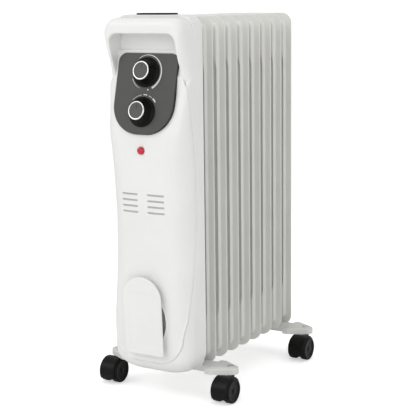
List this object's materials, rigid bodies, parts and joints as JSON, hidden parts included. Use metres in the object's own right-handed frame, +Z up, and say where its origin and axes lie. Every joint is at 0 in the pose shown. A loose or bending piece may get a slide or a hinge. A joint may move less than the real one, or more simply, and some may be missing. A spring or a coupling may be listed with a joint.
{
  "type": "oil filled radiator heater",
  "caption": "Tall oil filled radiator on swivel casters, with a white control housing, carry handle, two dials, indicator light and a cord hook.",
  "frame": {"origin": "on the floor, under the middle of the whole heater", "axes": "+Z up, the controls face -Y, X runs across the fins"},
  "size_m": [0.259, 0.4031, 0.6316],
  "materials": {
    "fin_enamel": "semi-gloss warm light grey enamel",
    "foot_enamel": "semi-gloss light grey enamel",
    "white_housing": "satin white",
    "panel_grey": "fine matt dark grey",
    "bright_ring": "satin bright",
    "cap_grey": "matt dark grey",
    "black_plastic": "satin black",
    "caster_black": "satin black",
    "red_lens": "clear red dome",
    "lamp_glass": "clear",
    "zinc_steel": "zinc plated",
    "shield_steel": "galvanised sheet",
    "element_metal": "plain",
    "gasket_rubber": "matt",
    "wire_insulation": "matt",
    "control_moulding": "matt"
  },
  "bodies": {
    "frame": {"carry_handle": "white_housing", "caster_stems": "zinc_steel", "control_panel": "panel_grey", "cord_gland": "white_housing", "cord_hook": "white_housing", "element_gasket": "gasket_rubber", "filler_plug": "fin_enamel", "fin_1": "fin_enamel", "fin_2": "fin_enamel", "fin_3": "fin_enamel", "fin_4": "fin_enamel", "fin_5": "fin_enamel", "fin_6": "fin_enamel", "fin_7": "fin_enamel", "fin_8": "fin_enamel", "fin_9": "fin_enamel", "foot_bolts": "zinc_steel", "front_cover": "white_housing", "front_foot": "foot_enamel", "heat_shield": "shield_steel", "heating_element": "element_metal", "housing_screws": "zinc_steel", "indicator_lens": "red_lens", "inner_wires": "wire_insulation", "lamp_holder": "control_moulding", "neon_lamp": "lamp_glass", "oil_collars": "fin_enamel", "power_switch": "control_moulding", "rear_foot": "foot_enamel", "rear_shell": "white_housing", "shield_spacers": "zinc_steel", "terminal_block": "control_moulding", "thermal_cutout": "control_moulding", "thermostat": "control_moulding", "top_vent": "black_plastic", "wing_nuts": "zinc_steel"},
    "front_left_caster": {"front_left_hood": "caster_black", "front_left_axle": "zinc_steel"},
    "front_left_wheel_a": {"front_left_wheel_a": "caster_black"},
    "front_left_wheel_b": {"front_left_wheel_b": "caster_black"},
    "front_right_caster": {"front_right_hood": "caster_black", "front_right_axle": "zinc_steel"},
    "front_right_wheel_a": {"front_right_wheel_a": "caster_black"},
    "front_right_wheel_b": {"front_right_wheel_b": "caster_black"},
    "rear_left_caster": {"rear_left_hood": "caster_black", "rear_left_axle": "zinc_steel"},
    "rear_left_wheel_a": {"rear_left_wheel_a": "caster_black"},
    "rear_left_wheel_b": {"rear_left_wheel_b": "caster_black"},
    "rear_right_caster": {"rear_right_hood": "caster_black", "rear_right_axle": "zinc_steel"},
    "rear_right_wheel_a": {"rear_right_wheel_a": "caster_black"},
    "rear_right_wheel_b": {"rear_right_wheel_b": "caster_black"},
    "thermostat_dial": {"thermostat_knob": "black_plastic", "thermostat_ring": "bright_ring", "thermostat_cap": "cap_grey", "thermostat_shaft": "zinc_steel"},
    "switch_dial": {"switch_knob": "black_plastic", "switch_ring": "bright_ring", "switch_cap": "cap_grey", "switch_shaft": "zinc_steel"}
  },
  "joints": [
    {"name": "front_left_swivel", "type": "hinge", "parent": "frame", "child": "front_left_caster", "pos_m": [-0.112, -0.1019, 0.03], "axis": [0, 0, 1], "continuous": true},
    {"name": "front_left_roll_a", "type": "hinge", "parent": "front_left_caster", "child": "front_left_wheel_a", "pos_m": [-0.1235, -0.1199, 0.0205], "axis": [1, 0, 0], "continuous": true},
    {"name": "front_left_roll_b", "type": "hinge", "parent": "front_left_caster", "child": "front_left_wheel_b", "pos_m": [-0.1005, -0.1199, 0.0205], "axis": [1, 0, 0], "continuous": true},
    {"name": "front_right_swivel", "type": "hinge", "parent": "frame", "child": "front_right_caster", "pos_m": [0.112, -0.1019, 0.03], "axis": [0, 0, 1], "continuous": true},
    {"name": "front_right_roll_a", "type": "hinge", "parent": "front_right_caster", "child": "front_right_wheel_a", "pos_m": [0.1005, -0.1199, 0.0205], "axis": [1, 0, 0], "continuous": true},
    {"name": "front_right_roll_b", "type": "hinge", "parent": "front_right_caster", "child": "front_right_wheel_b", "pos_m": [0.1235, -0.1199, 0.0205], "axis": [1, 0, 0], "continuous": true},
    {"name": "rear_left_swivel", "type": "hinge", "parent": "frame", "child": "rear_left_caster", "pos_m": [-0.112, 0.1711, 0.03], "axis": [0, 0, 1], "continuous": true},
    {"name": "rear_left_roll_a", "type": "hinge", "parent": "rear_left_caster", "child": "rear_left_wheel_a", "pos_m": [-0.1235, 0.1531, 0.0205], "axis": [1, 0, 0], "continuous": true},
    {"name": "rear_left_roll_b", "type": "hinge", "parent": "rear_left_caster", "child": "rear_left_wheel_b", "pos_m": [-0.1005, 0.1531, 0.0205], "axis": [1, 0, 0], "continuous": true},
    {"name": "rear_right_swivel", "type": "hinge", "parent": "frame", "child": "rear_right_caster", "pos_m": [0.112, 0.1711, 0.03], "axis": [0, 0, 1], "continuous": true},
    {"name": "rear_right_roll_a", "type": "hinge", "parent": "rear_right_caster", "child": "rear_right_wheel_a", "pos_m": [0.1005, 0.1531, 0.0205], "axis": [1, 0, 0], "continuous": true},
    {"name": "rear_right_roll_b", "type": "hinge", "parent": "rear_right_caster", "child": "rear_right_wheel_b", "pos_m": [0.1235, 0.1531, 0.0205], "axis": [1, 0, 0], "continuous": true},
    {"name": "thermostat_turn", "type": "hinge", "parent": "frame", "child": "thermostat_dial", "pos_m": [0, -0.16529, 0.53952], "axis": [0, 0.9711, -0.2385], "range_deg": [0, 270]},
    {"name": "switch_turn", "type": "hinge", "parent": "frame", "child": "switch_dial", "pos_m": [0, -0.18044, 0.47785], "axis": [0, 0.9711, -0.2385], "range_deg": [0, 120]}
  ]
}
